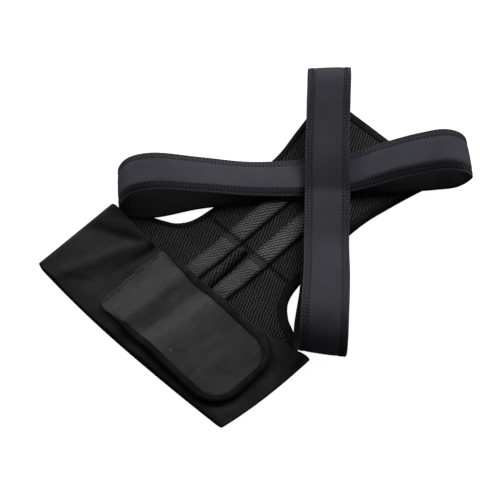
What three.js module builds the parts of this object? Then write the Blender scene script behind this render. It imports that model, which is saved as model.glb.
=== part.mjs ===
// Posture corrector lying on a table: mesh back panel, closed waist belt and two shoulder strap rings.
// Millimetres. +X runs across the back, +Y up the spine to the neck, +Z up from the table.
import * as THREE from "three";
import { mergeVertices } from "three/addons/utils/BufferGeometryUtils.js";

// Cloth thicknesses, and the clearance kept between layers that lie on each other
const LAYER_GAP = 0.35;
const BELT_CLOTH = 2.5;
const PANEL_CLOTH = 3.2;
const TAPE_CLOTH = 0.8;
const WEBBING_CLOTH = 1.4;
const FLAP_CLOTH = 2;
const STRAP_CLOTH = 2.6;

// How finely the cloth is divided: the length of a step along it, and counts of steps
const CLOTH_STEP = 7;
const BELT_ROWS = 6;
const BELT_ROUND_STEPS = 8;
const FLAP_ROWS = 8;
const FLAP_ROUND_STEPS = 6;
const WEBBING_COLUMNS = 4;
const ARM_TAPE_STEPS = 30;
const NECK_TAPE_STEPS = 4;
const TAPE_FOLD_STEPS = 3;
const STRAP_STEPS_PER_ROW = 3;
const EDGE_HALVINGS = 30;

// Waist belt: a ring pressed flat, whose two ends meet under the flap
const BELT_LEFT = -148;
const BELT_RIGHT = 143;
const BELT_BOTTOM = -178.5;
const BELT_TOP = -65;
const BELT_LOFT = 16;
const BELT_JOIN = -40;
const BELT_SLOPE = 0.035; // the belt lies a little turned, higher up the spine at its right end
const BELT_LEFT_HITCH = 5; // rise of the bottom edge at the left end
const BELT_RIGHT_HITCH = 5.5; // rise of the top edge at the right end
const BELT_HITCH_POWER = 6;
const BELT_BOTTOM_SAG = 3; // the bottom edge bows out between the ends
const BELT_TOP_SAG = 8.5; // the front's top edge hangs lower between the ends
const BELT_TOP_SAG_HALF = 132;
const BELT_TOP_SAG_POWER = 4;
const BELT_LEFT_PULL = 0.012; // share of its reach that each end loses at its lower corner
const BELT_RIGHT_PULL = 0.065;
const BELT_PULL_POWER = 2.5;
const BELT_DROOP = 5; // the front lies lower at the belt's bottom edge
const BELT_TAPER = 0.35; // share of its loft that the right end loses
const BELT_TAPER_FROM = 60;
const BELT_MIDDLE = (BELT_BOTTOM + BELT_TOP) / 2;

// Soft folds across the front of the belt and the flap on it
const FRONT_FOLDS = [
  { x: -95, lean: 0.38, rise: 3.2, spread: 11 },
  { x: -28, lean: 0.2, rise: 3, spread: 12 },
  { x: 15, lean: 0.15, rise: 3.2, spread: 13 },
  { x: 78, lean: 0.1, rise: 0.9, spread: 18 },
];

// Closing flap: round corners at its free end
const FLAP_LEFT = -57;
const FLAP_RIGHT = 120;
const FLAP_BOTTOM = -169;
const FLAP_TOP = -73;
const FLAP_CORNER = 32;

// Back panel: reach of its two arm edges from the spine, at places up the spine
const PANEL_ROWS = [
  { y: -92, left: 129, right: 133 },
  { y: -66, left: 120.5, right: 129 },
  { y: -54, left: 107, right: 121 },
  { y: -45, left: 92.5, right: 106.5 },
  { y: -36, left: 79, right: 89.5 },
  { y: -20, left: 69, right: 75 },
  { y: 8, left: 65, right: 68 },
  { y: 60, left: 63.5, right: 63.5 },
  { y: 110, left: 64.5, right: 63.5 },
  { y: 150, left: 73, right: 70 },
  { y: 190, left: 82.5, right: 79 },
  { y: 216, left: 90.5, right: 87 },
];
const PANEL_STEPS = [
  { from: -92, to: -26, steps: 12 },
  { from: -26, to: 12, steps: 8 },
  { from: 12, to: 100, steps: 8 },
  { from: 100, to: 216, steps: 9 },
];
const PANEL_MIDDLE_HALF = 38.5; // the ridged middle, with columns of even width
const PANEL_MIDDLE_COLUMNS = 14;
const PANEL_SIDE_COLUMNS = 3;
const PANEL_STEP_FOOT = -34; // where the panel starts to climb on to the belt
const PANEL_STEP_HEAD = -58;
const PANEL_VALLEY = { x: 3, depth: 1.7, spread: 5, from: -78, to: -12, fade: 12 };
const PANEL_SEAM = { y: -8, depth: 1, spread: 5 };

// Stay webbing: two strips side by side, turned a little from the spine, on ridges that the stays raise
const WEBBING_WIDTH = 20;
const WEBBING_FOOT = -84;
const WEBBING_HEAD = 106;
const WEBBING_AXIS = { half: 20.3, shift: -0.9, turn: -0.012 };
const RIDGE_SPREAD = 11;
const RIDGE_ROWS = [
  { y: -92, rise: 0.2 },
  { y: -78, rise: 0.5 },
  { y: -56, rise: 1.9 },
  { y: -22, rise: 2.1 },
  { y: -8, rise: 0.9 },
  { y: 6, rise: 2 },
  { y: 45, rise: 1.9 },
  { y: 95, rise: 0.2 },
];

// Folded binding tape
const TAPE_LEG = 8;
const ARM_TAPE_FROM = 0.055; // share of the panel's edge that lies below the arm tape
const ARM_TAPE_TO = 0.965;
const NECK_TAPE_HALF = 84;

// Shoulder straps: each row is one place round the ring, along the lower run and back over the top.
// along runs from the crossing to the shoulder, side toward the belt, z is the middle of the cloth,
// tip is the rise of the belt-side edge, ride the share of a strap's lift and roll that it takes, and sag
// the share of the strap's sag to the belt.
const STRAP_WIDTH = 50;
const STRAP_ROWS = [
  { along: 150, side: -3, z: 11, tip: 0, ride: 0 },
  { along: 122, side: -2.5, z: 7.4, tip: 0, ride: 0 },
  { along: 85, side: -2, z: 7.4, tip: 0, ride: 0 },
  { along: 58, side: -1, z: 7.8, tip: 0, ride: 0.25 },
  { along: 28, side: 0, z: 8.4, tip: 0, ride: 0.95 },
  { along: 0, side: 0, z: 8.8, tip: 0, ride: 1 },
  { along: -28, side: 0, z: 9.6, tip: 0, ride: 0.95 },
  { along: -60, side: 1, z: 9.4, tip: 0, ride: 0.2 },
  { along: -100, side: 2, z: 8, tip: 0, ride: 0 },
  { along: -150, side: 5, z: 7.4, tip: 0, ride: 0 },
  { along: -200, side: 11, z: 9, tip: 0, ride: 0, sag: 1 },
  { along: -226, side: 10.5, z: 14, tip: 0, ride: 0, sag: 1 },
  { along: -236, side: 7, z: 29, tip: 1, ride: 0, sag: 1 },
  { along: -226, side: 6, z: 44, tip: 1, ride: 0 },
  { along: -200, side: 5, z: 51, tip: 1, ride: 0 },
  { along: -145, side: 2, z: 36, tip: 3, ride: 0 },
  { along: -92, side: 1, z: 22, tip: 4, ride: 0 },
  { along: -40, side: 0, z: 16, tip: 2, ride: 0.6 },
  { along: 0, side: 0, z: 17.5, tip: 0, ride: 0.75 },
  { along: 28, side: 0, z: 21.5, tip: 0, ride: 0.7 },
  { along: 70, side: -1, z: 37, tip: -2, ride: 0.1 },
  { along: 105, side: -2, z: 46, tip: -4, ride: 0 },
  { along: 136, side: -3, z: 49, tip: -5, ride: 0 },
  { along: 157, side: -3, z: 41, tip: -2, ride: 0 },
  { along: 164, side: -3, z: 27, tip: 0, ride: 0 },
];
// Each strap's turn from the spine, the place of its crossing, its lift and roll there, the shares of the
// table's reach that it has toward the shoulder and the belt, and the skew and sag of its end at the belt
const STRAPS = [
  {
    name: "shoulder_strap_right",
    degrees: 41,
    x: 0,
    y: 127,
    lift: 0,
    roll: 0,
    shoulder: 0.955,
    belt: 1,
    skew: 0,
    sag: 3.2,
  },
  {
    name: "shoulder_strap_left",
    degrees: -43.7,
    x: -2.4,
    y: 124.6,
    lift: 14.5,
    roll: -3.5,
    shoulder: 0.862,
    belt: 0.985,
    skew: -0.014,
    sag: 0,
  },
];

// Cloth colours and finishes
const FINISH = {
  belt: { color: "#1d1d1f", roughness: 0.92 },
  mesh: { color: "#222224", roughness: 0.95 },
  tape: { color: "#121213", roughness: 0.85 },
  webbing: { color: "#4b4b4c", roughness: 0.8 },
  flap: { color: "#3b3b3c", roughness: 0.95 },
  strap: { color: "#3b3c41", roughness: 0.8 },
};

const BODY = new THREE.Group();

function addPiece(name, geometry, finish) {
  const piece = new THREE.Mesh(geometry, new THREE.MeshStandardMaterial({ ...finish, metalness: 0 }));
  piece.name = name;
  BODY.add(piece);
}

function closedBody(geometry) {
  geometry.deleteAttribute("normal");
  geometry.deleteAttribute("uv");
  const body = mergeVertices(geometry);
  body.computeVertexNormals();
  return body;
}

// A closed sheet: column and row count over its face, and through the cloth run from -0.5 to 0.5.
function sheet(columns, rows, place) {
  const grid = new THREE.BoxGeometry(1, 1, 1, columns, rows, 1);
  const spots = grid.getAttribute("position");
  for (let i = 0; i < spots.count; i++) {
    const column = Math.round((spots.getX(i) + 0.5) * columns);
    const row = Math.round((spots.getY(i) + 0.5) * rows);
    const spot = place(column, row, spots.getZ(i));
    spots.setXYZ(i, spot.x, spot.y, spot.z);
  }
  return closedBody(grid);
}

// Points and directions spread over a curve from one share of its length to another
function stationsAlong(curve, count, from = 0, to = 1) {
  return Array.from({ length: count + 1 }, (_, i) => {
    const share = THREE.MathUtils.lerp(from, to, i / count);
    return { at: curve.getPointAt(share), dir: curve.getTangentAt(share) };
  });
}

// The same over a path of lines and arcs, with no more than the given length to a step on a line
function stationsOnPath(path, lineStep, arcSteps) {
  const stations = [];
  path.curves.forEach((curve, index) => {
    const count = curve.isEllipseCurve ? arcSteps : Math.ceil(curve.getLength() / lineStep);
    stations.push(...stationsAlong(curve, count).slice(index ? 1 : 0));
  });
  return stations;
}

const bump = (distance, spread) => Math.exp(-((distance / spread) ** 2));

// A table's value at y, eased between its rows and level past its ends
function tableAt(rows, y, key) {
  const index = rows.findIndex((row) => row.y > y);
  if (index < 1) return rows.at(index)[key];
  const low = rows[index - 1];
  const high = rows[index];
  return THREE.MathUtils.lerp(low[key], high[key], THREE.MathUtils.smoothstep(y, low.y, high.y));
}

const leftEdge = new THREE.SplineCurve(PANEL_ROWS.map((row) => new THREE.Vector2(-row.left, row.y)));
const rightEdge = new THREE.SplineCurve(PANEL_ROWS.map((row) => new THREE.Vector2(row.right, row.y)));

// Where an edge of the panel lies at y, found by halving the stretch of edge that holds it
function edgeAt(edge, y) {
  let low = 0;
  let high = 1;
  for (let i = 0; i < EDGE_HALVINGS; i++) {
    const middle = (low + high) / 2;
    if (edge.getPoint(middle).y < y) low = middle;
    else high = middle;
  }
  return edge.getPoint(high).x;
}

const panelRows = PANEL_STEPS.flatMap(({ from, to, steps }, index) =>
  Array.from({ length: steps + 1 }, (_, i) => THREE.MathUtils.lerp(from, to, i / steps)).slice(index ? 1 : 0),
);

// Heights of the laid panel: its underside, and its face with the seam and the valley pressed in
const panelFoot = TAPE_CLOTH + LAYER_GAP;
const panelClimb = BELT_CLOTH + LAYER_GAP;

function webbingAxis(side, y) {
  return side * WEBBING_AXIS.half + WEBBING_AXIS.shift + WEBBING_AXIS.turn * y;
}

function panelUnder(x, y) {
  const climb = panelClimb * (1 - THREE.MathUtils.smoothstep(y, PANEL_STEP_HEAD, PANEL_STEP_FOOT));
  const ridges = bump(x - webbingAxis(-1, y), RIDGE_SPREAD) + bump(x - webbingAxis(1, y), RIDGE_SPREAD);
  return panelFoot + climb + tableAt(RIDGE_ROWS, y, "rise") * ridges;
}

function panelFace(x, y) {
  const seam = PANEL_SEAM.depth * bump(y - PANEL_SEAM.y, PANEL_SEAM.spread);
  const { from, to, fade } = PANEL_VALLEY;
  const reach =
    THREE.MathUtils.smoothstep(y, from, from + fade) * (1 - THREE.MathUtils.smoothstep(y, to - fade, to));
  const valley = PANEL_VALLEY.depth * reach * bump(x - PANEL_VALLEY.x, PANEL_VALLEY.spread);
  return panelUnder(x, y) + PANEL_CLOTH - Math.max(seam, valley);
}

function addPanel() {
  const columns = PANEL_MIDDLE_COLUMNS + 2 * PANEL_SIDE_COLUMNS;
  const geometry = sheet(columns, panelRows.length - 1, (column, row, depth) => {
    const y = panelRows[row];
    const fromMiddle = column - columns / 2;
    const inside = Math.min(Math.abs(fromMiddle) / (PANEL_MIDDLE_COLUMNS / 2), 1);
    const outside = Math.max(Math.abs(fromMiddle) - PANEL_MIDDLE_COLUMNS / 2, 0) / PANEL_SIDE_COLUMNS;
    const edgeX = edgeAt(fromMiddle < 0 ? leftEdge : rightEdge, y);
    const middleX = Math.sign(fromMiddle) * PANEL_MIDDLE_HALF;
    const x = THREE.MathUtils.lerp(middleX * inside, edgeX, outside);
    return { x, y, z: depth > 0 ? panelFace(x, y) : panelUnder(x, y) };
  });
  addPiece("back_panel", geometry, FINISH.mesh);
}

function addWebbing() {
  const sides = { stay_webbing_left: -1, stay_webbing_right: 1 };
  const between = panelRows.filter((y) => y > WEBBING_FOOT && y < WEBBING_HEAD);
  const rows = [WEBBING_FOOT, ...between, WEBBING_HEAD];
  for (const [name, side] of Object.entries(sides)) {
    const geometry = sheet(WEBBING_COLUMNS, rows.length - 1, (column, row, depth) => {
      const y = rows[row];
      const x = webbingAxis(side, y) + WEBBING_WIDTH * (column / WEBBING_COLUMNS - 0.5);
      return { x, y, z: panelFace(x, y) + LAYER_GAP + WEBBING_CLOTH * (depth + 0.5) };
    });
    addPiece(name, geometry, FINISH.webbing);
  }
}

// Tape folded round an edge whose outside is on the left of the way it runs; under gives the cloth's underside.
function foldedTape(edge, cloth, under) {
  const round = cloth / 2 + LAYER_GAP + TAPE_CLOTH / 2;
  const fold = new THREE.Path();
  fold.moveTo(-TAPE_LEG, round);
  fold.lineTo(0, round);
  fold.absarc(0, 0, round, Math.PI / 2, -Math.PI / 2, true);
  fold.lineTo(-TAPE_LEG, -round);
  const section = stationsOnPath(fold, TAPE_LEG, TAPE_FOLD_STEPS);
  return sheet(edge.length - 1, section.length - 1, (column, row, depth) => {
    const { at, dir } = edge[column];
    const { at: leg, dir: way } = section[row];
    const out = leg.x - way.y * TAPE_CLOTH * depth;
    const up = leg.y + way.x * TAPE_CLOTH * depth;
    const x = at.x - dir.y * out;
    const y = at.y + dir.x * out;
    return { x, y, z: under(x, y) + cloth / 2 + up };
  });
}

function addPanelBinding() {
  const left = stationsAlong(leftEdge, ARM_TAPE_STEPS, ARM_TAPE_FROM, ARM_TAPE_TO);
  const right = stationsAlong(rightEdge, ARM_TAPE_STEPS, ARM_TAPE_TO, ARM_TAPE_FROM);
  right.forEach((station) => station.dir.negate());
  const neckY = PANEL_ROWS.at(-1).y;
  const neckLine = new THREE.LineCurve(
    new THREE.Vector2(-NECK_TAPE_HALF, neckY),
    new THREE.Vector2(NECK_TAPE_HALF, neckY),
  );
  const neck = stationsAlong(neckLine, NECK_TAPE_STEPS);
  const edges = { arm_binding_left: left, arm_binding_right: right, neck_binding: neck };
  for (const [name, edge] of Object.entries(edges)) {
    addPiece(name, foldedTape(edge, PANEL_CLOTH, panelUnder), FINISH.tape);
  }
}

// Height of the belt's front over its level lay: soft folds, and the droop to its bottom edge
function frontRise(x, y) {
  const folds = FRONT_FOLDS.reduce(
    (sum, fold) => sum + fold.rise * bump(x - fold.x - fold.lean * (y - BELT_MIDDLE), fold.spread),
    0,
  );
  return folds - (BELT_DROOP * (BELT_TOP - y)) / (BELT_TOP - BELT_BOTTOM);
}

// Height of the middle of the belt's cloth, from its height in a level lay: flatter toward the right end
function tapered(x, z) {
  const taper = BELT_TAPER * THREE.MathUtils.smoothstep(x, BELT_TAPER_FROM, BELT_RIGHT);
  return THREE.MathUtils.lerp(z, BELT_CLOTH / 2, taper);
}

// Where a place on the belt lies on the table: reach is its flat distance along X, share runs up the belt,
// and front is 1 on the front and 0 on the back
function beltSpot(reach, share, front) {
  const end = reach > 0 ? BELT_RIGHT : BELT_LEFT;
  const outward = (reach / end) ** 2;
  const lower = (1 - share) ** (reach > 0 ? BELT_PULL_POWER : 1);
  const x = reach * (1 - (reach > 0 ? BELT_RIGHT_PULL : BELT_LEFT_PULL) * lower);
  const bottom = BELT_BOTTOM + THREE.MathUtils.lerp(-BELT_BOTTOM_SAG, reach > 0 ? 0 : BELT_LEFT_HITCH, outward);
  const hitch = reach > 0 ? BELT_RIGHT_HITCH * (reach / end) ** BELT_HITCH_POWER : 0;
  const sag = BELT_TOP_SAG * Math.max(1 - (reach / BELT_TOP_SAG_HALF) ** BELT_TOP_SAG_POWER, 0);
  const top = BELT_TOP + hitch - front * sag;
  return { x, y: THREE.MathUtils.lerp(bottom, top, share) + BELT_SLOPE * x };
}

function addBelt() {
  const round = (BELT_LOFT - BELT_CLOTH) / 2;
  const back = BELT_CLOTH / 2;
  const front = BELT_LOFT - BELT_CLOTH / 2;
  const ring = new THREE.Path();
  ring.moveTo(BELT_JOIN + LAYER_GAP / 2, front);
  ring.lineTo(BELT_RIGHT - back - round, front);
  ring.absarc(BELT_RIGHT - back - round, back + round, round, Math.PI / 2, -Math.PI / 2, true);
  ring.lineTo(BELT_LEFT + back + round, back);
  ring.absarc(BELT_LEFT + back + round, back + round, round, -Math.PI / 2, Math.PI / 2, true);
  ring.lineTo(BELT_JOIN - LAYER_GAP / 2, front);
  const stations = stationsOnPath(ring, CLOTH_STEP, BELT_ROUND_STEPS);
  const geometry = sheet(stations.length - 1, BELT_ROWS, (column, row, depth) => {
    const { at, dir } = stations[column];
    const front = Math.max(dir.x, 0);
    const { x, y } = beltSpot(at.x - dir.y * BELT_CLOTH * depth, row / BELT_ROWS, front);
    const middle = tapered(x, at.y + front * frontRise(x, y));
    return { x, y, z: middle + dir.x * BELT_CLOTH * depth };
  });
  addPiece("waist_belt", geometry, FINISH.belt);
}

// Underside of the flap, clear of the tape leg that lies between it and the belt
function flapUnder(x, y) {
  const half = BELT_CLOTH / 2;
  return tapered(x, BELT_LOFT - half + frontRise(x, y)) + half + TAPE_CLOTH + 2 * LAYER_GAP;
}

function addFlap() {
  const outline = new THREE.Path();
  const cornerX = FLAP_RIGHT - FLAP_CORNER;
  outline.moveTo(FLAP_LEFT, FLAP_TOP);
  outline.lineTo(cornerX, FLAP_TOP);
  outline.absarc(cornerX, FLAP_TOP - FLAP_CORNER, FLAP_CORNER, Math.PI / 2, 0, true);
  outline.lineTo(FLAP_RIGHT, FLAP_BOTTOM + FLAP_CORNER);
  outline.absarc(cornerX, FLAP_BOTTOM + FLAP_CORNER, FLAP_CORNER, 0, -Math.PI / 2, true);
  outline.lineTo(FLAP_LEFT, FLAP_BOTTOM);
  const edge = stationsOnPath(outline, CLOTH_STEP, FLAP_ROUND_STEPS);

  // Columns stand on the stations of the top edge as far as the middle of the free end
  const middle = (FLAP_BOTTOM + FLAP_TOP) / 2;
  const topEdge = edge.filter(({ at }) => at.y >= FLAP_TOP - FLAP_CORNER - LAYER_GAP);
  const geometry = sheet(topEdge.length - 1, FLAP_ROWS, (column, row, depth) => {
    const { x, y: top } = topEdge[column].at;
    const y = THREE.MathUtils.lerp(2 * middle - top, top, row / FLAP_ROWS);
    return { x, y, z: flapUnder(x, y) + FLAP_CLOTH * (depth + 0.5) };
  });
  addPiece("closing_flap", geometry, FINISH.flap);
  addPiece("flap_binding", foldedTape(edge, FLAP_CLOTH, flapUnder), FINISH.tape);
}

// A ring of band: the four corners of its section carried round a closed curve
function bandRing(strap) {
  const reach = (along) => along * (along > 0 ? strap.shoulder : strap.belt);
  const spots = STRAP_ROWS.map(
    (row) =>
      new THREE.Vector3(reach(row.along), row.side + strap.sag * (row.sag ?? 0), row.z + strap.lift * row.ride),
  );
  const tips = STRAP_ROWS.map((row) => new THREE.Vector3(row.tip + strap.roll * row.ride, 0, 0));
  const middle = new THREE.CatmullRomCurve3(spots, true);
  const tipping = new THREE.CatmullRomCurve3(tips, true);
  const steps = STRAP_ROWS.length * STRAP_STEPS_PER_ROW;
  const way = Math.sign(strap.degrees);
  const corners = [[way, 1], [-way, 1], [-way, -1], [way, -1]];

  const turn = THREE.MathUtils.degToRad(Math.abs(strap.degrees));
  const sine = Math.sin(turn);
  const cosine = Math.cos(turn);
  const ring = new THREE.TorusGeometry(STRAP_WIDTH, STRAP_CLOTH, corners.length, steps);
  const places = ring.getAttribute("position");
  const across = new THREE.Vector3();
  const spot = new THREE.Vector3();
  for (let i = 0; i < places.count; i++) {
    const share = (i % (steps + 1) % steps) / steps;
    const [side, face] = corners[Math.floor(i / (steps + 1)) % corners.length];
    across.set(0, STRAP_WIDTH / 2, tipping.getPoint(share).x).setLength(STRAP_WIDTH / 2);
    const outward = middle.getTangent(share).cross(across).setLength(STRAP_CLOTH / 2);
    spot.copy(middle.getPoint(share)).addScaledVector(across, side).addScaledVector(outward, face);
    if (spot.x < 0) spot.x *= 1 + strap.skew * side;
    places.setXYZ(
      i,
      strap.x + way * (spot.x * sine + spot.y * cosine),
      strap.y + spot.x * cosine - spot.y * sine,
      spot.z,
    );
  }
  return closedBody(ring);
}

addPanel();
addPanelBinding();
addWebbing();
addBelt();
addFlap();
STRAPS.forEach((strap) => addPiece(strap.name, bandRing(strap), FINISH.strap));

// The origin is under the middle of the whole object, on the table.
const reachBox = new THREE.Box3().setFromObject(BODY);
const reachMiddle = reachBox.getCenter(new THREE.Vector3());
BODY.position.set(-reachMiddle.x, -reachMiddle.y, -reachBox.min.z);

const postureCorrector = new THREE.Group();
postureCorrector.add(BODY);

export default postureCorrector;
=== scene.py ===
from bisect import bisect_right
from math import ceil, cos, exp, hypot, pi, radians, sin

import bmesh
import bpy
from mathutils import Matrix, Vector, noise
from mathutils.geometry import intersect_point_line


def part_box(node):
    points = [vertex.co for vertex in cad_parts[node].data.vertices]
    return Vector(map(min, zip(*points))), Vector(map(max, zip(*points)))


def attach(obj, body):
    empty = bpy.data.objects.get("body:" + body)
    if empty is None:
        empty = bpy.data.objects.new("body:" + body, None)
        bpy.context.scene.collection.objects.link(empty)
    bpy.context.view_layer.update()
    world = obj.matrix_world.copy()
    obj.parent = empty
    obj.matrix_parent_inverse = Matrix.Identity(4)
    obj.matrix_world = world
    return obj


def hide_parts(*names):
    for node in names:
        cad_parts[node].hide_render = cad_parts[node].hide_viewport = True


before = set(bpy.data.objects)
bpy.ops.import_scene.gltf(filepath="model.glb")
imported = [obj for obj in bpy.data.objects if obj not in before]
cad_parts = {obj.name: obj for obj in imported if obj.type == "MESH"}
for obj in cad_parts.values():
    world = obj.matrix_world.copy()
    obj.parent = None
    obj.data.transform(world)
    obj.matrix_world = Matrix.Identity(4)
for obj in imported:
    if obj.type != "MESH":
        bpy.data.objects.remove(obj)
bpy.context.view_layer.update()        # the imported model, which stays as it is
print("frame loaded,", len(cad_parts), "nodes")

# cloth thicknesses and the clearance between layers that lie on each other, all sizes in millimetres
cloth = {"gap": 0.35, "belt": 2.5, "panel": 3.2, "tape": 0.8, "webbing": 1.4, "flap": 2.0, "strap": 2.6}
mm = 0.001


def mix(low, high, share):
    return low + (high - low) * share


def ease(value, low, high):
    share = min(max((value - low) / (high - low), 0), 1)
    return share * share * (3 - 2 * share)


def bump(distance, spread):
    return exp(-((distance / spread) ** 2))


def steps(low, high, count):
    return [mix(low, high, i / count) for i in range(count + 1)]


def wander(x, y, size, seed):     # smooth noise between about -1 and 1, features of the given size
    return noise.noise(Vector((x / size, y / size, seed)))


# value of a table of (y, value) rows, eased between rows and level past its ends
def tableAt(rows, y):
    index = bisect_right([row[0] for row in rows], y)
    if index == 0:
        return rows[0][1]
    if index == len(rows):
        return rows[-1][1]
    (lowY, low), (highY, high) = rows[index - 1], rows[index]
    return mix(low, high, ease(y, lowY, highY))


# back panel: reach of its arm edges from the spine, the relief of its face, and its dark sewn seam with the
# painted shade and highlight on its face
panelSizes = {
    "edges": [        # y, reach to the left, reach to the right
        (-92, 132, 133), (-66, 126, 129), (-54, 109, 121), (-45, 92.5, 106.5), (-36, 79, 89.5),
        (-20, 69, 75), (8, 65, 68), (60, 63.5, 63.5), (110, 64.5, 63.5), (150, 73, 70), (190, 82.5, 79),
        (216, 90.5, 87),
    ],
    "edgeSteps": 480, "columns": 150, "rows": 260, "backColumns": 24, "edgeShare": 0.008,
    "stepHead": -58, "stepFoot": -34,        # where it climbs on to the back layer of the belt
    "valley": {
        "x": 3.2, "y": -38, "lean": -0.1, "depth": 2.8, "spread": 3.8, "from": -78, "to": -3, "fade": 9,
        "lip": 2.0, "lipAway": 7.6, "lipSpread": 3.4,        # raised along its left side
    },
    "seam": {"y": -5.5, "depth": 1.1, "spread": 3.6},
    # painted shade in the valley, painted shadow beside the right edges of the webbing, and the dark sewn
    # seam
    "dark": {        # in the valley, on the sewn seam and beside the right edges of the webbing
        "valley": 1.3, "valleyAside": 1.2, "valleySpread": 3.5, "fadeIn": (-82, -76), "fadeOut": (-9, 0),
        "seam": 0.9, "seamY": -1.5, "seamSpread": 1.5, "seamMean": 0.75, "seamUneven": 0.5, "seamPatch": 5,
        "edge": 0.95, "shadowAside": 1.2, "shadowSpread": 1.9,
        # the lip of the valley gets a painted highlight
        "lip": 0.45, "lipAside": 1.5,        # how much lighter the lip of the valley is
    },
}

# webbing: two strips over the stays, either side of the spine
webbingSizes = {
    "width": 20.6, "foot": -84, "head": 106, "half": 20.3, "shift": -0.9, "turn": -0.012,
    "columns": 28, "rows": 200, "backColumns": 6, "edgeShare": 0.03,
    "ridge": [        # y, and how high the panel is raised there
        (-92, 0.2), (-78, 0.5), (-56, 1.9), (-22, 2.1), (-8, 0.9), (6, 2.0), (45, 1.9), (95, 0.2),
    ],
    "ridgeSpread": 11,
    "crumples": [(0.55, 11, 2.0), (0.35, 4.5, 5.0)],        # height, size, seed
    "taut": 0.7, "tautFrom": 0, "tautTo": 25,        # share of the crumples that is lost above the seam
    # painted shadow at the seam and painted shade along the edges, most along the right edge
    "seamShadows": [(-2, 0.9, 1.5), (-9.8, 1.0, 1.6), (-6, 0.68, 4)],        # y, darkness, spread
    "rightEdge": 0.85, "rightFrom": 0.86, "leftEdge": 0.25, "leftTo": 0.1,        # dark along its edges
    "stitchShares": (0.1, 0.9), "pitch": 3.2, "stitchRise": 0.2, "thread": 0.3,
}

# the frame's pieces give the spine and the zero line that the sizes are measured from
neckLow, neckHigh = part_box("neck_binding")
spineX = (neckLow.x + neckHigh.x) / 2
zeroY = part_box("back_panel")[1].y - panelSizes["edges"][-1][0] * mm


def spot(x, y, z):
    return Vector((spineX + x * mm, zeroY + y * mm, z * mm))


# point on an even spline through a list of points, share runs from 0 to 1
def splinePoint(points, share):
    place = min(share, 1) * (len(points) - 1)
    index = min(int(place), len(points) - 2)
    t = place - index
    p0, p1 = points[max(index - 1, 0)], points[index]
    p2, p3 = points[index + 1], points[min(index + 2, len(points) - 1)]
    v0, v1 = (p2 - p0) / 2, (p3 - p1) / 2
    return (2 * p1 - 2 * p2 + v0 + v1) * t ** 3 + (3 * p2 - 3 * p1 - 2 * v0 - v1) * t ** 2 + v0 * t + p1


def panelEdge(side):
    points = [Vector((-left if side < 0 else right, y)) for y, left, right in panelSizes["edges"]]
    return [splinePoint(points, share) for share in steps(0, 1, panelSizes["edgeSteps"])]


leftEdge = panelEdge(-1)
rightEdge = panelEdge(1)


def edgeAt(edge, y):
    index = min(max(bisect_right([point.y for point in edge], y), 1), len(edge) - 1)
    low, high = edge[index - 1], edge[index]
    return mix(low.x, high.x, (y - low.y) / (high.y - low.y))


# distance along a line of points, at each of them
def runLengths(points):
    lengths = [0.0]
    for low, high in zip(points, points[1:]):
        lengths.append(lengths[-1] + (high - low).length)
    return lengths


# (place, direction) at even distances over a line of points, between two shares of its length
def stationsAlong(line, count, start=0.0, end=1.0):
    lengths = runLengths(line)
    stations = []
    for want in steps(start * lengths[-1], end * lengths[-1], count):
        index = min(max(bisect_right(lengths, want), 1), len(line) - 1)
        low, high = line[index - 1], line[index]
        share = (want - lengths[index - 1]) / (lengths[index] - lengths[index - 1])
        stations.append((low.lerp(high, share), (high - low).normalized()))
    return stations


def webbingAxis(side, y):
    return side * webbingSizes["half"] + webbingSizes["shift"] + webbingSizes["turn"] * y


def panelUnder(x, y):
    climb = (cloth["belt"] + cloth["gap"]) * (1 - ease(y, panelSizes["stepHead"], panelSizes["stepFoot"]))
    ridges = sum(bump(x - webbingAxis(side, y), webbingSizes["ridgeSpread"]) for side in (-1, 1))
    return cloth["tape"] + cloth["gap"] + climb + tableAt(webbingSizes["ridge"], y) * ridges


def valleyAt(y):
    valley = panelSizes["valley"]
    return valley["x"] + valley["lean"] * (y - valley["y"])


def panelFace(x, y):
    seam, valley = panelSizes["seam"], panelSizes["valley"]
    pressed = seam["depth"] * bump(y - seam["y"], seam["spread"])
    reach = ease(y, valley["from"], valley["from"] + valley["fade"])
    reach *= 1 - ease(y, valley["to"] - valley["fade"], valley["to"])
    sunk = valley["depth"] * reach * bump(x - valleyAt(y), valley["spread"])
    lip = valley["lip"] * reach * bump(x - valleyAt(y) + valley["lipAway"], valley["lipSpread"])
    return panelUnder(x, y) + cloth["panel"] + lip - max(pressed, sunk)


# painted shade on the panel's face: shade in the valley, a shadow beside the right edges of the webbing and
# the dark sewn seam; below zero a painted highlight on the lip of the valley
def panelPaintedShade(x, y):
    valley, dark = panelSizes["valley"], panelSizes["dark"]
    reach = ease(y, *dark["fadeIn"]) * (1 - ease(y, *dark["fadeOut"]))
    beside = x - valleyAt(y)
    shade = dark["valley"] * reach * bump(beside - dark["valleyAside"], dark["valleySpread"])
    broken = dark["seamMean"] + dark["seamUneven"] * wander(x, y, dark["seamPatch"], 7.0)
    shade = max(shade, dark["seam"] * broken * bump(y - dark["seamY"], dark["seamSpread"]))
    if y < webbingSizes["head"]:
        for side in (-1, 1):
            past = x - webbingAxis(side, y) - webbingSizes["width"] / 2 - dark["shadowAside"]
            shade = max(shade, dark["edge"] * bump(past, dark["shadowSpread"]))
    lit = dark["lip"] * reach * bump(beside + valley["lipAway"] - dark["lipAside"], valley["lipSpread"])
    return min(shade, 1) - lit


# (share across, depth) round the section of a strip: face, round edge, back, round edge
def clothSection(faceSteps, backSteps, edgeShare, edgeSteps=5):
    turns = [pi * i / edgeSteps for i in range(1, edgeSteps)]
    face = [(share, 0.5) for share in steps(edgeShare, 1 - edgeShare, faceSteps)]
    back = [(1 - share, -0.5) for share in steps(edgeShare, 1 - edgeShare, backSteps)]
    highEdge = [(1 - edgeShare + edgeShare * sin(turn), 0.5 * cos(turn)) for turn in turns]
    lowEdge = [(edgeShare - edgeShare * sin(turn), -0.5 * cos(turn)) for turn in turns]
    return face + highEdge + back + lowEdge


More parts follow.
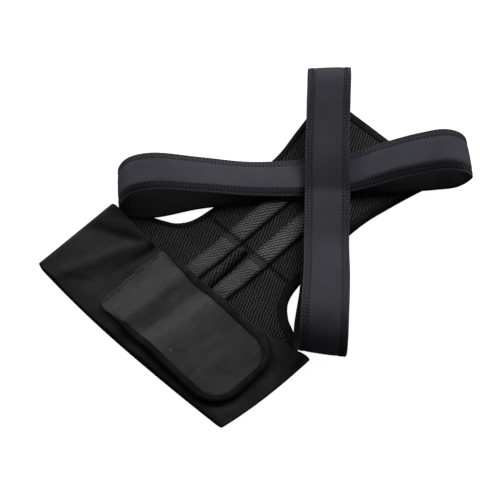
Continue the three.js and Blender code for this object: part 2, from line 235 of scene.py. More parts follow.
# a closed strip of cloth: a grid wrapped round its section and carried along its rows.
# place(row, share, depth) gives x, y, z and a mark that materials read,
# lengths are the rows' places along it
def wrapCloth(name, section, width, lengths, place, ring=False):
    bm = bmesh.new()
    columns, last = len(section), len(lengths) - 1
    bmesh.ops.create_grid(bm, x_segments=columns, y_segments=last, size=0.5)
    flatUv = bm.loops.layers.uv.new("flat")
    mark = bm.verts.layers.float.new("mark")
    bm.verts.index_update()
    flat = {}
    for vert in bm.verts:
        share, depth = section[round((vert.co.x + 0.5) * columns) % columns]
        row = round((vert.co.y + 0.5) * last)
        flat[vert.index] = (share * width * mm, lengths[row] * mm)
        x, y, z, vert[mark] = place(row % last if ring else row, share, depth)
        vert.co = spot(x, y, z)
    for face in bm.faces:
        face.smooth = True
        for corner in face.loops:
            corner[flatUv].uv = flat[corner.vert.index]
    bmesh.ops.remove_doubles(bm, verts=bm.verts[:], dist=1e-7)        # joins the grid's two sides
    if not ring:
        bmesh.ops.holes_fill(bm, edges=[edge for edge in bm.edges if edge.is_boundary], sides=0)
    bmesh.ops.recalc_face_normals(bm, faces=bm.faces[:])
    mesh = bpy.data.meshes.new(name)
    bm.to_mesh(mesh)
    bm.free()
    return mesh


def addPiece(name, mesh, finish, slot, *nodes):
    piece = bpy.data.objects.new(name, mesh)
    bpy.context.scene.collection.objects.link(piece)
    mesh.materials.append(finish)
    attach(piece, "root")
    if nodes:
        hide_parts(*nodes)
    return piece


# thread along polylines of places, as one mesh
def sewThread(name, lines, radius, finish, slot):
    curve = bpy.data.curves.new(name, "CURVE")
    curve.dimensions = "3D"
    curve.bevel_depth = radius * mm
    curve.bevel_resolution = 0
    curve.use_fill_caps = True
    for line in lines:
        spline = curve.splines.new("POLY")
        spline.points.add(len(line) - 1)
        for point, place in zip(spline.points, line):
            point.co = (*spot(*place), 1)
    holder = bpy.data.objects.new(name + "_curve", curve)
    mesh = bpy.data.meshes.new_from_object(holder)
    bpy.data.objects.remove(holder)
    bpy.data.curves.remove(curve)
    mesh.name = name
    mesh.materials.clear()
    mesh.shade_smooth()
    return addPiece(name, mesh, finish, slot)


needleDepth = 0.3        # how far thread sinks into the cloth at a needle hole


# a row of stitches: surface(s) gives the place on the cloth s millimetres along the row
def stitchRow(surface, length, pitch, rise):
    line = []
    for i in range(int(length / pitch)):
        for share, lift in ((0.0, -needleDepth), (0.2, rise), (0.8, rise)):
            x, y, z = surface((i + share) * pitch)
            line.append((x, y, z + lift))
    return line


# materials: small helpers, then the groups that several finishes share
def feed(tree, socket, value):
    if isinstance(value, bpy.types.NodeSocket):
        tree.links.new(value, socket)
    else:
        socket.default_value = value


def calc(tree, operation, *values):
    node = tree.nodes.new("ShaderNodeMath")
    node.operation = operation
    for socket, value in zip(node.inputs, values):
        feed(tree, socket, value)
    return node.outputs[0]


def times(tree, *values):
    return calc(tree, "MULTIPLY", *values)


def rangeNode(tree, value, low, high, outLow=0.0, outHigh=1.0):
    node = tree.nodes.new("ShaderNodeMapRange")
    node.interpolation_type = "SMOOTHSTEP"
    given = {"Value": value, "From Min": low, "From Max": high, "To Min": outLow, "To Max": outHigh}
    for name, setting in given.items():
        feed(tree, node.inputs[name], setting)
    return node.outputs[0]


def mixColour(tree, share, low, high):
    node = tree.nodes.new("ShaderNodeMix")
    node.data_type = "RGBA"
    feed(tree, node.inputs[0], share)
    feed(tree, node.inputs[6], low)
    feed(tree, node.inputs[7], high)
    return node.outputs[2]


def grey(value, blue=1.0):
    return (value, value, value * blue, 1)


def newGroup(name, inputs, outputs):
    group = bpy.data.node_groups.new(name, "ShaderNodeTree")
    for label, kind, value in inputs:
        socket = group.interface.new_socket(label, in_out="INPUT", socket_type=kind)
        if value is not None:
            socket.default_value = value
    for label in outputs:
        group.interface.new_socket(label, in_out="OUTPUT", socket_type="NodeSocketFloat")
    return group, group.nodes.new("NodeGroupInput").outputs, group.nodes.new("NodeGroupOutput").inputs


# fibre: fine uneven fuzz; cloud: slow lighter and darker patches
grainLook = {
    "Fibre": {"size": 0.7, "detail": 3.0},
    "Cloud": {"size": 30.0, "detail": 2.0},
    "span": (0.3, 0.7),        # values of the noise that become 0 and 1
}


def makeGrainGroup():
    labels = ("Fibre", "Cloud")
    sizes = [(label + " Size", "NodeSocketFloat", grainLook[label]["size"]) for label in labels]
    group, given, out = newGroup("clothGrain", [("Vector", "NodeSocketVector", None)] + sizes, labels)
    for label in labels:
        texture = group.nodes.new("ShaderNodeTexNoise")
        feed(group, texture.inputs["Vector"], given["Vector"])
        feed(group, texture.inputs["Scale"], calc(group, "DIVIDE", 1 / mm, given[label + " Size"]))
        texture.inputs["Detail"].default_value = grainLook[label]["detail"]
        feed(group, out[label], rangeNode(group, texture.outputs["Fac"], *grainLook["span"]))
    return group


# rows of ribs, 1 on a rib and 0 between
def makeRibGroup():
    inputs = [("Distance", "NodeSocketFloat", 0.0), ("Spacing", "NodeSocketFloat", 1.0)]
    group, given, out = newGroup("ribRows", inputs, ["Rib"])
    turns = calc(group, "DIVIDE", times(group, given["Distance"], 2 * pi / mm), given["Spacing"])
    feed(group, out["Rib"], calc(group, "MULTIPLY_ADD", calc(group, "COSINE", turns), 0.5, 0.5))
    return group


grainGroup = makeGrainGroup()
ribGroup = makeRibGroup()
print("node groups made")


def placeGroup(tree, group, **values):
    node = tree.nodes.new("ShaderNodeGroup")
    node.node_tree = group
    for name, value in values.items():
        feed(tree, node.inputs[name.replace("_", " ")], value)
    return node.outputs


def grainOn(tree, place, fibre, cloud):
    return placeGroup(tree, grainGroup, Vector=place, Fibre_Size=fibre, Cloud_Size=cloud)


def ribsOn(tree, distance, spacing):
    return placeGroup(tree, ribGroup, Distance=distance, Spacing=spacing)["Rib"]


def newFinish(name, roughness, specular, sheen=0.0):
    finish = bpy.data.materials.new(name)
    finish.use_nodes = True
    tree = finish.node_tree
    shader = tree.nodes["Principled BSDF"].inputs
    shader["Roughness"].default_value = roughness
    shader["Specular IOR Level"].default_value = specular
    shader["Sheen Weight"].default_value = sheen
    return finish, tree, shader, tree.nodes.new("ShaderNodeTexCoord").outputs


def addBump(tree, shader, height, distance):
    node = tree.nodes.new("ShaderNodeBump")
    node.inputs["Distance"].default_value = distance * mm
    feed(tree, node.inputs["Height"], height)
    feed(tree, shader["Normal"], node.outputs["Normal"])


def readMark(tree):
    node = tree.nodes.new("ShaderNodeAttribute")
    node.attribute_name = "mark"
    return node.outputs["Fac"]


def splitPlace(tree, place):
    parts = tree.nodes.new("ShaderNodeSeparateXYZ")
    feed(tree, parts.inputs[0], place)
    return parts.outputs


# a place in the plane of the cloth turned by some degrees, in millimetres, with a little unevenness
def turnedPlace(tree, coords, degrees, uneven, size):
    noiseNode = tree.nodes.new("ShaderNodeTexNoise")
    feed(tree, noiseNode.inputs["Vector"], coords["Object"])
    noiseNode.inputs["Scale"].default_value = 1 / (size * mm)
    parts, shift = splitPlace(tree, coords["Object"]), splitPlace(tree, noiseNode.outputs["Color"])
    x, y = (calc(tree, "ADD", calc(tree, "DIVIDE", parts[axis], mm), times(tree, shift[axis], uneven))
            for axis in "XY")
    turn = radians(degrees)
    across = calc(tree, "ADD", times(tree, x, cos(turn)), times(tree, y, sin(turn)))
    along = calc(tree, "SUBTRACT", times(tree, y, cos(turn)), times(tree, x, sin(turn)))
    return across, along


# thread finishes, lighter and darker along the fibre
threadLook = {
    "fibre": 0.4, "cloud": 12.0, "low": 0.6, "high": 1.3,
    "dark": 0.015, "flap": 0.045, "strap": 0.055, "strapBlue": 1.25,
}


def makeThreadFinish(name, shade, blue=1.0):
    finish, tree, shader, coords = newFinish(name, roughness=0.6, specular=0.15)
    grain = grainOn(tree, coords["Object"], threadLook["fibre"], threadLook["cloud"])
    low, high = (grey(shade * threadLook[end], blue) for end in ("low", "high"))
    feed(tree, shader["Base Color"], mixColour(tree, grain["Fibre"], low, high))
    return finish


darkThread = makeThreadFinish("darkThread", threadLook["dark"])
flapThread = makeThreadFinish("flapThread", threadLook["flap"])
strapThread = makeThreadFinish("strapThread", threadLook["strap"], threadLook["strapBlue"])
print("threads made")

# spacer mesh: slits in leaning columns, every other column half a step along
meshLook = {
    "lean": 27.6, "column": 3.02, "pitch": 4.7, "halfWidth": 0.85, "halfLength": 1.75,
    "uneven": 3.0, "unevenSize": 8.0, "fibre": 2.2, "patch": 5.0,
    # lit is the tone of the painted highlight on the lip of the valley
    "strand": 0.102, "bridge": 0.023, "slit": 0.001, "lit": 0.15,
    "slitEdge": (0.5, 1.2), "slitPower": 4.0, "strandEdge": (0.12, 0.42),
    "deep": 0.6, "deeper": 0.4, "fuzz": 0.5, "fuzzRise": 0.25, "rise": 0.5,
}


def makeMeshFinish():
    look = meshLook
    finish, tree, shader, coords = newFinish("spacerMesh", roughness=0.7, specular=0.05)
    grain = grainOn(tree, coords["Object"], look["fibre"], look["patch"])
    across, along = turnedPlace(tree, coords, look["lean"], look["uneven"], look["unevenSize"])
    across = calc(tree, "DIVIDE", across, look["column"])
    lane = calc(tree, "ROUND", across)
    offAcross = calc(tree, "ABSOLUTE", calc(tree, "SUBTRACT", across, lane))
    along = calc(tree, "MULTIPLY_ADD", lane, 0.5, calc(tree, "DIVIDE", along, look["pitch"]))
    offAlong = calc(tree, "SUBTRACT", along, calc(tree, "ROUND", along))
    wide = times(tree, offAcross, look["column"] / look["halfWidth"])
    long = calc(tree, "ABSOLUTE", times(tree, offAlong, look["pitch"] / look["halfLength"]))
    reach = calc(tree, "ADD", times(tree, wide, wide), calc(tree, "POWER", long, look["slitPower"]))
    deep = calc(tree, "MULTIPLY_ADD", grain["Cloud"], look["deeper"], look["deep"])
    slit = times(tree, rangeNode(tree, reach, *look["slitEdge"], 1.0, 0.0), deep)
    bridge, hole = grey(look["bridge"]), grey(look["slit"])
    strand = mixColour(tree, rangeNode(tree, offAcross, *look["strandEdge"]), bridge, grey(look["strand"]))
    strand = mixColour(tree, times(tree, grain["Fibre"], look["fuzz"]), strand, bridge)
    # the mark paints shade towards the slit tone, and below zero a painted highlight towards lit
    mark = readMark(tree)
    strand = mixColour(tree, times(tree, mark, -1.0), strand, grey(look["lit"]))
    colour = mixColour(tree, slit, strand, hole)
    feed(tree, shader["Base Color"], mixColour(tree, mark, colour, hole))
    fuzz = times(tree, grain["Fibre"], look["fuzzRise"])
    addBump(tree, shader, calc(tree, "MULTIPLY_ADD", slit, -1.0, fuzz), look["rise"])
    return finish


def makePanel():
    rows = steps(panelSizes["edges"][0][0], panelSizes["edges"][-1][0], panelSizes["rows"])
    reach = [(edgeAt(leftEdge, y), edgeAt(rightEdge, y)) for y in rows]

    def place(row, share, depth):
        y = rows[row]
        x = mix(*reach[row], share)
        z = mix(panelUnder(x, y), panelFace(x, y), depth + 0.5)
        return x, y, z, panelPaintedShade(x, y) if depth > 0 else 0.0

    width = 2 * panelSizes["edges"][-1][1]
    section = clothSection(panelSizes["columns"], panelSizes["backColumns"], panelSizes["edgeShare"])
    mesh = wrapCloth("panel_mesh_cloth", section, width, rows, place)
    piece = addPiece("panel_mesh_cloth", mesh, makeMeshFinish(), "mesh_cloth", "back_panel")


makePanel()
print("panel made")

# webbing: wavy twill ribs broken into short dashes, flatter in tone where it is worn below the seam
webbingLook = {
    "turn": 59, "rib": 3.3, "dash": 4.4, "uneven": 2.2, "unevenSize": 7.0, "fibre": 0.7, "cloud": 16.0,
    "low": 0.015, "high": 0.40, "dull": 0.75, "dashShare": 0.45, "ribShare": 0.55, "fuzz": 0.3,
    "worn": 0.095, "wornShare": 0.85, "wornFull": -12, "wornTop": -2, "wornPatch": (0.3, 0.75),
    "fuzzRise": 0.2, "rise": 0.35,
}


def makeWebbingFinish():
    look = webbingLook
    finish, tree, shader, coords = newFinish("twillWebbing", roughness=0.6, specular=0.2, sheen=0.03)
    grain = grainOn(tree, coords["Object"], look["fibre"], look["cloud"])
    run, lift = turnedPlace(tree, coords, look["turn"], look["uneven"], look["unevenSize"])
    row = calc(tree, "DIVIDE", lift, look["rib"])
    along = calc(tree, "DIVIDE", run, look["dash"])
    along = calc(tree, "MULTIPLY_ADD", calc(tree, "ROUND", row), 0.5, along)
    rib, dash = ribsOn(tree, row, 1 / mm), ribsOn(tree, along, 1 / mm)
    crest = times(tree, rib, calc(tree, "MULTIPLY_ADD", dash, look["dashShare"], look["ribShare"]))
    low, high = grey(look["low"]), grey(look["high"])
    light = mixColour(tree, grain["Cloud"], grey(look["high"] * look["dull"]), high)
    colour = mixColour(tree, crest, low, light)
    colour = mixColour(tree, times(tree, grain["Fibre"], look["fuzz"]), colour, low)
    full, top = (zeroY + look[end] * mm for end in ("wornFull", "wornTop"))
    slack = rangeNode(tree, splitPlace(tree, coords["Object"])["Y"], full, top, look["wornShare"], 0.0)
    worn = times(tree, rangeNode(tree, grain["Cloud"], *look["wornPatch"]), slack)
    colour = mixColour(tree, worn, colour, grey(look["worn"]))
    # the mark paints shade towards the low tone
    feed(tree, shader["Base Color"], mixColour(tree, readMark(tree), colour, low))
    addBump(tree, shader, calc(tree, "MULTIPLY_ADD", grain["Fibre"], look["fuzzRise"], crest), look["rise"])
    return finish


# crumpled near and below the seam, flatter above it
def webbingTop(x, y):
    slack = 1 - webbingSizes["taut"] * ease(y, webbingSizes["tautFrom"], webbingSizes["tautTo"])
    crumple = sum(height * wander(x, y, size, seed) for height, size, seed in webbingSizes["crumples"])
    return panelFace(x, y) + cloth["gap"] + cloth["webbing"] + slack * crumple


# painted shade of the webbing: a shadow at the seam and shade along its edges, most on the one that turns
# from the light
def webbingPaintedShade(y, share):
    seam = max(dark * bump(y - seamY, spread) for seamY, dark, spread in webbingSizes["seamShadows"])
    edge = webbingSizes["rightEdge"] * ease(share, webbingSizes["rightFrom"], 1.0)
    edge += webbingSizes["leftEdge"] * (1 - ease(share, 0.0, webbingSizes["leftTo"]))
    return min(max(seam, edge), 1)


def makeWebbing(side, word, finish):
    width, foot, head = (webbingSizes[name] for name in ("width", "foot", "head"))
    rows = steps(foot, head, webbingSizes["rows"])

    def acrossAt(y, share):
        return webbingAxis(side, y) + width * (share - 0.5)

    def place(row, share, depth):
        y = rows[row]
        x = acrossAt(y, share)
        z = mix(panelFace(x, y) + cloth["gap"], webbingTop(x, y), depth + 0.5)
        return x, y, z, webbingPaintedShade(y, share)

    section = clothSection(webbingSizes["columns"], webbingSizes["backColumns"], webbingSizes["edgeShare"])
    mesh = wrapCloth("webbing_strip_" + word, section, width, rows, place)
    piece = addPiece("webbing_strip_" + word, mesh, finish, "webbing", "stay_webbing_" + word)

    def edgeRow(share):
        def surface(s):
            y = foot + s
            x = acrossAt(y, share)
            return x, y, webbingTop(x, y)
        return stitchRow(surface, head - foot, webbingSizes["pitch"], webbingSizes["stitchRise"])

    lines = [edgeRow(share) for share in webbingSizes["stitchShares"]]
    thread = sewThread("webbing_stitches_" + word, lines, webbingSizes["thread"], darkThread, "webbing")


webbingFinish = makeWebbingFinish()
for side, word in ((-1, "left"), (1, "right")):
    makeWebbing(side, word, webbingFinish)
print("webbing made")

# tape folded over an edge of cloth, the outside of the edge lies left of the way that it runs
tapeSizes = {
    "uneven": 0.7, "unevenSize": 7, "foldSteps": 10, "legSteps": 8, "edgeShare": 0.015, "edgeSteps": 3,
    "armFrom": 0.055, "armTo": 0.965, "armSteps": 150, "neckHalf": 84, "neckSteps": 60,
    "armLeftLeg": 4.0, "armRightLeg": 8.0, "neckLeg": 7.0,
    "tailReach": 0.15, "tailShadeFade": 1.3,        # at a tail the tape narrows and its dark side fades
    # painted shade on the outside of runs that turn from the light
    "dark": 0.9, "paintedShadeWay": (-0.6, -0.8), "darkFrom": -4.5, "darkTo": 0.5,        # dark on such runs
    "stitchIn": 1.8, "pitch": 3.0, "stitchRise": 0.15, "thread": 0.25,
}
tapeLook = {
    "panel": 0.023, "flap": 0.034, "fibre": 0.6, "cloud": 14.0, "rib": 1.3, "ribShare": 0.4,
    "low": 0.55, "high": 1.2, "crest": 1.8, "paintedTurnShade": 0.15, "fuzzRise": 0.7, "rise": 0.18,
}


def makeTapeFinish(name, shade):
    finish, tree, shader, coords = newFinish(name, roughness=0.8, specular=0.05)
    grain = grainOn(tree, coords["Object"], tapeLook["fibre"], tapeLook["cloud"])
    rib = ribsOn(tree, splitPlace(tree, coords["UV"])["Y"], tapeLook["rib"])
    low, high, crest, paintedTurnShade = (grey(shade * tapeLook[tone]) for tone in ("low", "high", "crest", "paintedTurnShade"))
    base = mixColour(tree, grain["Cloud"], low, high)
    colour = mixColour(tree, times(tree, rib, tapeLook["ribShare"]), base, crest)
    # the mark paints shade towards the darker tone
    feed(tree, shader["Base Color"], mixColour(tree, readMark(tree), colour, paintedTurnShade))
    fuzz = times(tree, grain["Fibre"], tapeLook["fuzzRise"])
    addBump(tree, shader, calc(tree, "ADD", rib, fuzz), tapeLook["rise"])
    return finish


def foldedTape(name, stations, clothThick, under, finish, node, leg, tail=0):
    thick = cloth["tape"]
    lengths = runLengths([at for at, way in stations])
    radius = clothThick / 2 + cloth["gap"] + thick / 2
    width = 2 * leg + pi * radius

    # how far out and up the middle of the tape lies, and which way it faces, at a share of its width
    def fold(share):
        s = share * width
        if s < leg:
            return s - leg, radius, 0.0, 1.0
        if s > width - leg:
            return width - leg - s, -radius, 0.0, -1.0
        turn = pi / 2 - (s - leg) / radius
        return radius * cos(turn), radius * sin(turn), cos(turn), sin(turn)

    def place(row, share, depth):
        at, way = stations[row]
        out, up, outFace, upFace = fold(share)
        out += outFace * thick * depth
        if tail:
            toEnd = min(lengths[row] - lengths[0], lengths[-1] - lengths[row])
            out *= mix(tapeSizes["tailReach"], 1, ease(toEnd, 0, tail))
        if out < -1:
            out += tapeSizes["uneven"] * wander(at.x, at.y, tapeSizes["unevenSize"], 6.0) * (out + 1) / leg
        x, y = at.x - way.y * out, at.y + way.x * out
        # painted shade where the outside of the run turns from the light, fading toward a tail
        paintedTurnShade = max(way.y * tapeSizes["paintedShadeWay"][1] + way.x * tapeSizes["paintedShadeWay"][0], 0)
        paintedTurnShade *= ease(out, tapeSizes["darkFrom"], tapeSizes["darkTo"])
        if tail:
            paintedTurnShade *= ease(toEnd, 0, tapeSizes["tailShadeFade"] * tail)
        z = under(x, y) + clothThick / 2 + up + upFace * thick * depth
        return x, y, z, tapeSizes["dark"] * paintedTurnShade

    count = 2 * tapeSizes["legSteps"] + tapeSizes["foldSteps"]
    section = clothSection(count, count, tapeSizes["edgeShare"], tapeSizes["edgeSteps"])
    mesh = wrapCloth(name, section, width, lengths, place)
    piece = addPiece(name, mesh, finish, "edge_tape", node)

    def surface(s):
        row = min(bisect_right(lengths, s + lengths[0]) - 1, len(stations) - 2)
        share = (s + lengths[0] - lengths[row]) / (lengths[row + 1] - lengths[row])
        at, way = stations[row][0].lerp(stations[row + 1][0], share), stations[row][1]
        out = tapeSizes["stitchIn"] - leg
        x, y = at.x - way.y * out, at.y + way.x * out
        return x, y, under(x, y) + clothThick / 2 + radius + thick / 2

    line = stitchRow(surface, lengths[-1] - lengths[0], tapeSizes["pitch"], tapeSizes["stitchRise"])
    thread = sewThread(name + "_stitches", [line], tapeSizes["thread"], darkThread, "edge_tape")


def makePanelTapes():
    start, end, count = (tapeSizes[name] for name in ("armFrom", "armTo", "armSteps"))
    left = stationsAlong(leftEdge, count, start, end)
    right = stationsAlong(rightEdge[::-1], count, 1 - end, 1 - start)
    neckY, half = panelSizes["edges"][-1][0], tapeSizes["neckHalf"]
    neck = stationsAlong([Vector((-half, neckY)), Vector((half, neckY))], tapeSizes["neckSteps"])
    finish = makeTapeFinish("panelTape", tapeLook["panel"])
    for name, stations, node, leg in (("arm_tape_left", left, "arm_binding_left", "armLeftLeg"),
                                      ("arm_tape_right", right, "arm_binding_right", "armRightLeg"),
                                      ("neck_tape", neck, "neck_binding", "neckLeg")):
        foldedTape(name, stations, cloth["panel"], panelUnder, finish, node, tapeSizes[leg])


makePanelTapes()
print("panel tapes made")

# waist belt: a closed ring of cloth pressed flat
beltSizes = {
    "left": -148, "right": 143, "bottom": -178.5, "top": -65, "loft": 16, "join": -40,
    "slope": 0.035, "droop": 5,        # turned a little on the table, and lower at its bottom edge
    "leftHitch": 5, "rightHitch": 5.5, "hitchPower": 6, "bottomSag": 3,
    "topSag": 8.5, "topSagHalf": 132, "topSagPower": 4,        # the front's top edge between the ends
    "leftPull": 0.012, "rightPull": 0.065, "pullPower": 2.5,
    "taper": 0.35, "taperFrom": 60,        # share of its loft that the right end loses
    "faceSteps": 70, "backSteps": 30, "edgeShare": 0.011,
    "frontStep": 2.0, "backStep": 9.0, "roundSteps": 16,
    "folds": [        # x at mid height, lean up the belt, rise, spread to the left and to the right
        (-97, 0.38, 3.4, 12, 9), (-21, 0.03, 3.8, 22, 10), (26, 0.14, 3.8, 15, 30), (84, 0.1, 0.9, 18, 18),
    ],
    "creases": [        # rise, spread, then places along it and how strong it is there
        (-2.4, 7.0, [(-147, -113, 0.3), (-128, -100, 0.8), (-110, -91, 1.0), (-92, -84, 1.0),
                     (-76, -78, 0.3)]),
        (-2.3, 5.0, [(-70, -72, 1.0), (-72, -88, 1.0), (-75, -105, 0.7), (-79, -125, 0.35),
                     (-82, -146, 0.0)]),
        (-0.9, 4.0, [(-116, -174, 0.0), (-104, -165, 1.0), (-92, -155, 0.7), (-82, -146, 0.0)]),
        (1.2, 4.0, [(114, -174, 0.2), (127, -156, 1.0), (132, -136, 0.2)]),
        (1.0, 3.5, [(126, -120, 0.2), (131, -105, 1.0), (132, -86, 0.2)]),
    ],
    "creaseWay": 0.9,        # least level share of the cloth's way where creases show
    "edgeRoll": 1.4, "edgeRollReach": 7,
    # painted shade in the creases, a painted shadow beside the flap where its side turns from the light,
    # painted highlights along the ridges over a base of painted shade, and random patches of tone
    "dark": {        # in the creases, and beside the flap where its side turns from the light
        "paintedShadeBase": 0.24, "crease": 0.6, "full": 2.2, "patch": 0.1, "patchSize": 14,
        "flapShadow": 0.65, "flapReach": 3.2, "flapSpread": 3.4, "flapFrom": 8, "flapFade": 70,
        "lights": [        # how much lighter, spread, then places along it and how strong it is there
            (0.3, 5.0, [(-79, -84, 0.6), (-92, -99, 1.0), (-101, -117, 1.0), (-107, -140, 0.8),
                        (-116, -164, 0.4)]),
            (0.2, 8.0, [(-132, -122, 1.0), (-124, -108, 0.8)]),
            (0.2, 6.0, [(-84, -162, 1.0), (-74, -150, 0.6)]),
            (0.25, 4.0, [(112, -174, 0.6), (124, -160, 1.0), (130, -146, 0.3)]),
            (0.25, 5.0, [(128, -116, 0.6), (134, -104, 1.0)]),
        ],
    },
}

# closing flap: round corners at its free end, bound on its three free sides
flapSizes = {
    "left": -59, "right": 120, "bottom": -169, "top": -75, "corner": 32, "leftCorner": 9,
    "columns": 60, "backColumns": 30, "edgeShare": 0.01, "step": 1.8, "leftSteps": 8, "cornerSteps": 24,
    "tapeLeg": 6.4, "tapeTail": 45, "bareFoot": 11, "outlineSteps": 60, "turnSteps": 30, "tapeSteps": 220,
    "fray": 2.4, "fraySize": 9, "frayReach": 12,        # uneven sewn edge
    "nap": [        # x, and the share of the lighter tone that the painted light and shade give there
        (-60, 0.45), (-36, 0.8), (-23, 0.85), (-15, 0.2), (0, 0.15), (8, 0.8), (16, 1.0), (30, 0.6),
        (52, 0.25), (110, 0.2),
    ],
    "paintedLightLean": 0.1,
    # darker in broken patches just in from the sewn edge
    "worn": {"dark": 1.3, "size": 7, "from": -0.1, "to": 0.3, "in": 1.5, "spread": 3.2},        # by it
    # a painted highlight at the top left corner
    "cornerHighlight": {"light": 0.5, "in": 7, "down": 5, "spread": 5},        # at its top corner
    "stitches": {
        "from": 8, "count": 19, "size": 7, "kept": -0.15, "slant": 0.4, "thread": 0.4,
        "places": [        # in from the edge, over the cloth
            (0.8, -0.4), (1.6, 0.2), (3.4, 0.2), (4.2, -0.4),
        ],
    },
}

# belt: near-black brushed cloth, with a darker turned edge at its bottom
beltLook = {
    "low": 0.040, "high": 0.061, "nap": 0.105, "napShare": 0.45, "fibre": 1.1, "cloud": 24.0, "rise": 0.25,
    # fold is the tone of the deepest painted shade
    "rim": 9.0, "rimFrom": 2, "rimShade": 0.048, "fold": 0.004,
}


def makeBeltFinish():
    look = beltLook
    finish, tree, shader, coords = newFinish("brushedCloth", roughness=0.9, specular=0.05, sheen=0.06)
    grain = grainOn(tree, coords["Object"], look["fibre"], look["cloud"])
    base = mixColour(tree, grain["Cloud"], grey(look["low"]), grey(look["high"]))
    fuzzy = mixColour(tree, times(tree, grain["Fibre"], look["napShare"]), base, grey(look["nap"]))
    across = splitPlace(tree, coords["UV"])["X"]
    rim = rangeNode(tree, across, look["rimFrom"] * mm, look["rim"] * mm, 1.0, 0.0)
    colour = mixColour(tree, rim, fuzzy, grey(look["rimShade"]))
    # the mark paints shade towards the fold tone
    feed(tree, shader["Base Color"], mixColour(tree, readMark(tree), colour, grey(look["fold"])))
    addBump(tree, shader, grain["Fibre"], look["rise"])
    return finish


# height of the belt's front over its level lay: soft folds, and the droop to its bottom edge
def frontRise(x, y):
    bottom, top = beltSizes["bottom"], beltSizes["top"]
    rise = -beltSizes["droop"] * (top - y) / (top - bottom)
    for foldX, lean, height, spreadLeft, spreadRight in beltSizes["folds"]:
        beside = x - foldX - lean * (y - (bottom + top) / 2)
        rise += height * bump(beside, spreadLeft if beside < 0 else spreadRight)
    return rise


# sum of soft lines drawn over the belt's front
def linesAt(lines, x, y):
    at, total = Vector((x, y)), 0.0
    for strength, spread, places in lines:
        pulls = []
        for low, high in zip(places, places[1:]):
            low, high = Vector(low), Vector(high)
            share = intersect_point_line(at, low.xy, high.xy)[1]
            near = low.lerp(high, min(max(share, 0), 1))
            pulls.append(near.z * bump((at - near.xy).length, spread))
        total += strength * max(pulls)
    return total


# painted shade in the creases and beside the flap, lightened by painted highlights along the ridges, with
# random patches of tone
def beltPaintedShadeAndPatches(x, y):
    dark, corner = beltSizes["dark"], flapSizes["corner"]
    crease = dark["crease"] * min(max(-linesAt(beltSizes["creases"], x, y) / dark["full"], 0), 1)
    patch = dark["patch"] * wander(x, y, dark["patchSize"], 13.0)
    crease += dark["paintedShadeBase"] - linesAt(dark["lights"], x, y) + patch
    out = Vector((max(x - flapSizes["right"] + corner, 0), min(y - flapSizes["bottom"] - corner, 0)))
    if y > flapSizes["bottom"] + corner:
        out.y = max(y - flapSizes["top"] + corner, 0)
    beside = 0.0
    if x > flapSizes["left"] + dark["flapFrom"] and (out.x > 0 or out.y < 0):
        beside = dark["flapShadow"] * bump(out.length - corner - dark["flapReach"], dark["flapSpread"])
        beside *= ease(x, flapSizes["left"], flapSizes["left"] + dark["flapFade"])
    return min(max(crease, beside, 0), 1)


# height over the table of the middle of the cloth, whose level lay is given, flatter toward the right end
def tapered(x, z):
    taper = beltSizes["taper"] * ease(x, beltSizes["taperFrom"], beltSizes["right"])
    return cloth["belt"] / 2 + (z - cloth["belt"] / 2) * (1 - taper)


# (x, z, way x, way z) round the middle of the belt's cloth, seen from its bottom edge
def beltPath():
    half = cloth["belt"] / 2
    front = beltSizes["loft"] - half
    radius = (front - half) / 2
    rightTurn, leftTurn = beltSizes["right"] - half - radius, beltSizes["left"] + half + radius
    join = beltSizes["join"]

    def level(start, end, step, z, way):
        return [(x, z, way, 0.0) for x in steps(start, end, ceil(abs(end - start) / step))]

    def bend(middle, start, end):
        turns = steps(start, end, beltSizes["roundSteps"])[1:]
        return [(middle + radius * cos(turn), half + radius + radius * sin(turn), sin(turn), -cos(turn))
                for turn in turns]

    path = level(join, rightTurn, beltSizes["frontStep"], front, 1.0)
    path += bend(rightTurn, pi / 2, -pi / 2)
    path += level(rightTurn, leftTurn, beltSizes["backStep"], half, -1.0)[1:]
    path += bend(leftTurn, pi * 1.5, pi / 2)
    path += level(leftTurn, join, beltSizes["frontStep"], front, 1.0)[1:]
    return path


